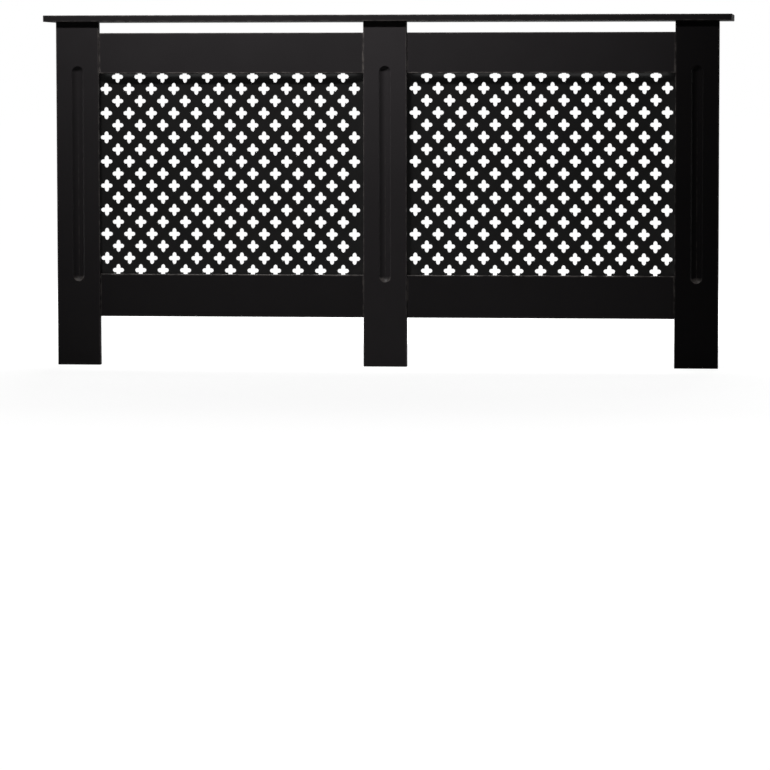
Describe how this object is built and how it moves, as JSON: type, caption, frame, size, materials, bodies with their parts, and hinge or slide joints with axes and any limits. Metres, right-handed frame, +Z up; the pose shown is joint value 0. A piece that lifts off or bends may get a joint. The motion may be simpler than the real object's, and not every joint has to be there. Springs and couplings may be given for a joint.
{
  "type": "radiator cover cabinet",
  "caption": "Low black cabinet that stands over a wall radiator: flat shelf on fluted posts and rails, grilles of four-petalled holes, notched side panels, open back.",
  "frame": {"origin": "on the floor, at the middle of the footprint: halfway along the shelf's length and depth", "axes": "+X to the right seen from the front, +Y to the wall behind, +Z up"},
  "size_m": [1.6, 0.21, 0.815],
  "materials": {
    "board_paint": "satin black paint",
    "grille_paint": "satin black paint",
    "beech": "bare beech",
    "zinc": "cast zinc, dull",
    "steel": "zinc-plated steel"
  },
  "bodies": {
    "root": {"bottom_rail_left": "board_paint", "bottom_rail_right": "board_paint", "cam_bolt_post_left_lower": "zinc", "cam_bolt_post_left_upper": "zinc", "cam_bolt_post_right_lower": "zinc", "cam_bolt_post_right_upper": "zinc", "cam_bolt_shelf_left": "zinc", "cam_bolt_shelf_right": "zinc", "cam_lock_post_left_lower": "zinc", "cam_lock_post_left_upper": "zinc", "cam_lock_post_right_lower": "zinc", "cam_lock_post_right_upper": "zinc", "cam_lock_shelf_left": "zinc", "cam_lock_shelf_right": "zinc", "grille_left": "grille_paint", "grille_right": "grille_paint", "grille_screw_left_lower_left": "steel", "grille_screw_left_lower_right": "steel", "grille_screw_left_upper_left": "steel", "grille_screw_left_upper_right": "steel", "grille_screw_right_lower_left": "steel", "grille_screw_right_lower_right": "steel", "grille_screw_right_upper_left": "steel", "grille_screw_right_upper_right": "steel", "left_post": "board_paint", "middle_post": "board_paint", "rail_dowel_left_bottom_lower_left": "beech", "rail_dowel_left_bottom_lower_right": "beech", "rail_dowel_left_bottom_upper_left": "beech", "rail_dowel_left_bottom_upper_right": "beech", "rail_dowel_left_top_lower_left": "beech", "rail_dowel_left_top_lower_right": "beech", "rail_dowel_left_top_upper_left": "beech", "rail_dowel_left_top_upper_right": "beech", "rail_dowel_right_bottom_lower_left": "beech", "rail_dowel_right_bottom_lower_right": "beech", "rail_dowel_right_bottom_upper_left": "beech", "rail_dowel_right_bottom_upper_right": "beech", "rail_dowel_right_top_lower_left": "beech", "rail_dowel_right_top_lower_right": "beech", "rail_dowel_right_top_upper_left": "beech", "rail_dowel_right_top_upper_right": "beech", "right_post": "board_paint", "shelf_dowel_left_post_left": "beech", "shelf_dowel_left_post_right": "beech", "shelf_dowel_middle_post_left": "beech", "shelf_dowel_middle_post_right": "beech", "shelf_dowel_right_post_left": "beech", "shelf_dowel_right_post_right": "beech", "side_panel_left": "board_paint", "side_panel_right": "board_paint", "top_rail_left": "board_paint", "top_rail_right": "board_paint", "top_shelf": "board_paint", "wall_bracket_left": "steel", "wall_bracket_right": "steel", "wall_bracket_screw_left": "steel", "wall_bracket_screw_right": "steel"}
  },
  "joints": []
}
